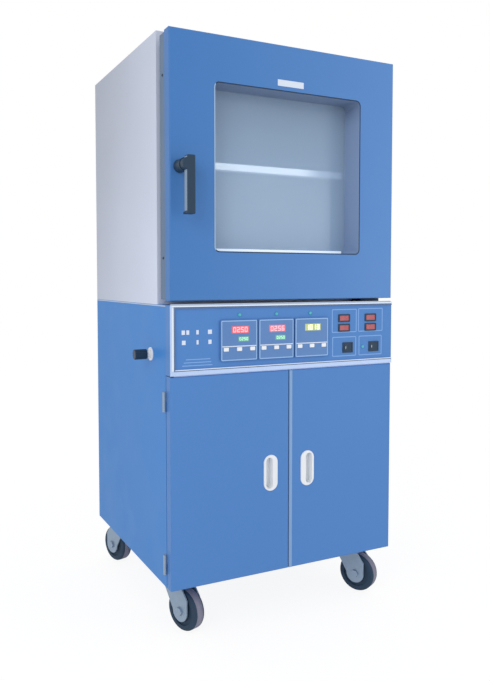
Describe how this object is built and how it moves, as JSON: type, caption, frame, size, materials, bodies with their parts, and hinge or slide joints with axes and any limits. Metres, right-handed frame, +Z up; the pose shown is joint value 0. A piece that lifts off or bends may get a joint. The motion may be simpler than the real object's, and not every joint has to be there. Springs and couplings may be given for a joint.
{
  "type": "vacuum oven",
  "caption": "Floor-standing vacuum drying oven: windowed chamber door, control panel, pump cabinet with two doors, on swivel casters.",
  "frame": {"origin": "on the floor, under the middle of the cabinet", "axes": "+X right as seen from the front, the front faces -Y, +Z up"},
  "size_m": [0.6706, 0.6795, 1.416],
  "materials": {
    "blue_paint": "semi-gloss powder coat",
    "grey_paint": "satin powder coat",
    "beige_paint": "satin powder coat",
    "trim": "satin anodised",
    "stainless": "brushed",
    "zinc": "zinc plated",
    "dark_steel": "blackened",
    "black_plastic": "fine matte",
    "panel_plastic": "fine matte",
    "white_plastic": "gloss",
    "red_plastic": "gloss",
    "display": "tinted window",
    "lamp": "tinted lens",
    "liner": "dark satin",
    "glass": "clear toughened",
    "silicone": "matte",
    "tyre": "solid rubber",
    "glass_wool": "loose fibre",
    "mica": "matte",
    "pump_cast": "painted casting"
  },
  "bodies": {
    "cabinet": {"base_pan": "blue_paint", "cabinet_casing": "blue_paint", "cabinet_rear_cover": "blue_paint", "cable_gland": "black_plastic", "caster_plates": "zinc", "vent_valve_flange": "white_plastic", "fascia_trim": "trim", "fascia_panel": "blue_paint", "controllers": "panel_plastic", "display_windows": "display", "indicator_lamps": "lamp", "switch_bodies": "black_plastic", "body_casing": "grey_paint", "body_front_frame": "grey_paint", "body_rear_cover": "grey_paint", "chamber": "stainless", "chamber_insulation": "glass_wool", "heater_plates": "mica", "shelf": "stainless", "door_seal": "silicone", "oven_hinge_brackets": "dark_steel", "cabinet_hinges": "zinc", "vacuum_pump": "pump_cast", "vacuum_pipe": "stainless"},
    "oven_door": {"door_shell": "blue_paint", "door_inner_frame": "beige_paint", "window_liner": "liner", "window_glass": "glass"},
    "door_handle": {"handle_lever": "black_plastic", "latch_cam": "zinc"},
    "lower_door_left": {"cabinet_door_left": "blue_paint", "door_pull_left": "white_plastic", "door_hinge_left": "zinc"},
    "lower_door_right": {"cabinet_door_right": "blue_paint", "door_pull_right": "white_plastic", "door_hinge_right": "zinc"},
    "valve_knob": {"vent_valve_knob": "black_plastic"},
    "key_left_1_cap": {"key_left_1": "white_plastic"},
    "key_left_2_cap": {"key_left_2": "white_plastic"},
    "key_left_3_cap": {"key_left_3": "white_plastic"},
    "key_middle_1_cap": {"key_middle_1": "white_plastic"},
    "key_middle_2_cap": {"key_middle_2": "white_plastic"},
    "key_middle_3_cap": {"key_middle_3": "white_plastic"},
    "key_right_1_cap": {"key_right_1": "white_plastic"},
    "key_right_2_cap": {"key_right_2": "white_plastic"},
    "key_right_3_cap": {"key_right_3": "white_plastic"},
    "rocker_red_1_cap": {"rocker_red_1": "red_plastic"},
    "rocker_red_2_cap": {"rocker_red_2": "red_plastic"},
    "rocker_red_3_cap": {"rocker_red_3": "red_plastic"},
    "rocker_red_4_cap": {"rocker_red_4": "red_plastic"},
    "rocker_black_1_cap": {"rocker_black_1": "black_plastic"},
    "rocker_black_2_cap": {"rocker_black_2": "black_plastic"},
    "swivel_front_left": {"caster_fork_front_left": "zinc"},
    "wheel_front_left": {"caster_wheel_front_left": "tyre"},
    "swivel_front_right": {"caster_fork_front_right": "zinc"},
    "wheel_front_right": {"caster_wheel_front_right": "tyre"},
    "swivel_rear_left": {"caster_fork_rear_left": "zinc"},
    "wheel_rear_left": {"caster_wheel_rear_left": "tyre"},
    "swivel_rear_right": {"caster_fork_rear_right": "zinc"},
    "wheel_rear_right": {"caster_wheel_rear_right": "tyre"}
  },
  "joints": [
    {"name": "oven_door_swing", "type": "hinge", "parent": "cabinet", "child": "oven_door", "pos_m": [0.288, -0.251, 1.101], "axis": [0, 0, 1], "range_deg": [0, 105]},
    {"name": "handle_turn", "type": "hinge", "parent": "oven_door", "child": "door_handle", "pos_m": [-0.285, -0.317, 1.098], "axis": [0, -1, 0], "range_deg": [0, 90]},
    {"name": "lower_door_left_swing", "type": "hinge", "parent": "cabinet", "child": "lower_door_left", "pos_m": [-0.3143, -0.272, 0.378], "axis": [0, 0, -1], "range_deg": [0, 110]},
    {"name": "lower_door_right_swing", "type": "hinge", "parent": "cabinet", "child": "lower_door_right", "pos_m": [0.3143, -0.272, 0.378], "axis": [0, 0, 1], "range_deg": [0, 110]},
    {"name": "valve_knob_turn", "type": "hinge", "parent": "cabinet", "child": "valve_knob", "pos_m": [-0.33, -0.173, 0.668], "axis": [-1, 0, 0], "range_deg": [0, 270]},
    {"name": "key_left_1_press", "type": "slide", "parent": "cabinet", "child": "key_left_1_cap", "axis": [0, 1, 0], "range_m": [0, 0.0012], "stiffness_N_per_m": 400},
    {"name": "key_left_2_press", "type": "slide", "parent": "cabinet", "child": "key_left_2_cap", "axis": [0, 1, 0], "range_m": [0, 0.0012], "stiffness_N_per_m": 400},
    {"name": "key_left_3_press", "type": "slide", "parent": "cabinet", "child": "key_left_3_cap", "axis": [0, 1, 0], "range_m": [0, 0.0012], "stiffness_N_per_m": 400},
    {"name": "key_middle_1_press", "type": "slide", "parent": "cabinet", "child": "key_middle_1_cap", "axis": [0, 1, 0], "range_m": [0, 0.0012], "stiffness_N_per_m": 400},
    {"name": "key_middle_2_press", "type": "slide", "parent": "cabinet", "child": "key_middle_2_cap", "axis": [0, 1, 0], "range_m": [0, 0.0012], "stiffness_N_per_m": 400},
    {"name": "key_middle_3_press", "type": "slide", "parent": "cabinet", "child": "key_middle_3_cap", "axis": [0, 1, 0], "range_m": [0, 0.0012], "stiffness_N_per_m": 400},
    {"name": "key_right_1_press", "type": "slide", "parent": "cabinet", "child": "key_right_1_cap", "axis": [0, 1, 0], "range_m": [0, 0.0012], "stiffness_N_per_m": 400},
    {"name": "key_right_2_press", "type": "slide", "parent": "cabinet", "child": "key_right_2_cap", "axis": [0, 1, 0], "range_m": [0, 0.0012], "stiffness_N_per_m": 400},
    {"name": "key_right_3_press", "type": "slide", "parent": "cabinet", "child": "key_right_3_cap", "axis": [0, 1, 0], "range_m": [0, 0.0012], "stiffness_N_per_m": 400},
    {"name": "rocker_red_1_tip", "type": "hinge", "parent": "cabinet", "child": "rocker_red_1_cap", "pos_m": [0.16, -0.296, 0.7485], "axis": [0, 0, 1], "range_deg": [0, 14]},
    {"name": "rocker_red_2_tip", "type": "hinge", "parent": "cabinet", "child": "rocker_red_2_cap", "pos_m": [0.16, -0.296, 0.724], "axis": [0, 0, 1], "range_deg": [0, 14]},
    {"name": "rocker_red_3_tip", "type": "hinge", "parent": "cabinet", "child": "rocker_red_3_cap", "pos_m": [0.242, -0.296, 0.7485], "axis": [0, 0, 1], "range_deg": [0, 14]},
    {"name": "rocker_red_4_tip", "type": "hinge", "parent": "cabinet", "child": "rocker_red_4_cap", "pos_m": [0.242, -0.296, 0.724], "axis": [0, 0, 1], "range_deg": [0, 14]},
    {"name": "rocker_black_1_tip", "type": "hinge", "parent": "cabinet", "child": "rocker_black_1_cap", "pos_m": [0.1715, -0.296, 0.6735], "axis": [0, 0, 1], "range_deg": [0, 14]},
    {"name": "rocker_black_2_tip", "type": "hinge", "parent": "cabinet", "child": "rocker_black_2_cap", "pos_m": [0.2525, -0.296, 0.6735], "axis": [0, 0, 1], "range_deg": [0, 14]},
    {"name": "swivel_front_left_turn", "type": "hinge", "parent": "cabinet", "child": "swivel_front_left", "pos_m": [-0.253, -0.1907, 0.12], "axis": [0, 0, 1], "continuous": true},
    {"name": "wheel_front_left_roll", "type": "hinge", "parent": "swivel_front_left", "child": "wheel_front_left", "pos_m": [-0.24154, -0.22271, 0.05], "axis": [0.9415, 0.3371, 0], "continuous": true},
    {"name": "swivel_front_right_turn", "type": "hinge", "parent": "cabinet", "child": "swivel_front_right", "pos_m": [0.2484, -0.1973, 0.12], "axis": [0, 0, 1], "continuous": true},
    {"name": "wheel_front_right_roll", "type": "hinge", "parent": "swivel_front_right", "child": "wheel_front_right", "pos_m": [0.26415, -0.22743, 0.05], "axis": [0.8862, 0.4633, 0], "continuous": true},
    {"name": "swivel_rear_left_turn", "type": "hinge", "parent": "cabinet", "child": "swivel_rear_left", "pos_m": [-0.25, 0.243, 0.12], "axis": [0, 0, 1], "continuous": true},
    {"name": "wheel_rear_left_roll", "type": "hinge", "parent": "swivel_rear_left", "child": "wheel_rear_left", "pos_m": [-0.26028, 0.27541, 0.05], "axis": [-0.9532, -0.3024, 0], "continuous": true},
    {"name": "swivel_rear_right_turn", "type": "hinge", "parent": "cabinet", "child": "swivel_rear_right", "pos_m": [0.25, 0.243, 0.12], "axis": [0, 0, 1], "continuous": true},
    {"name": "wheel_rear_right_roll", "type": "hinge", "parent": "swivel_rear_right", "child": "wheel_rear_right", "pos_m": [0.25707, 0.27626, 0.05], "axis": [-0.9781, 0.2079, 0], "continuous": true}
  ]
}
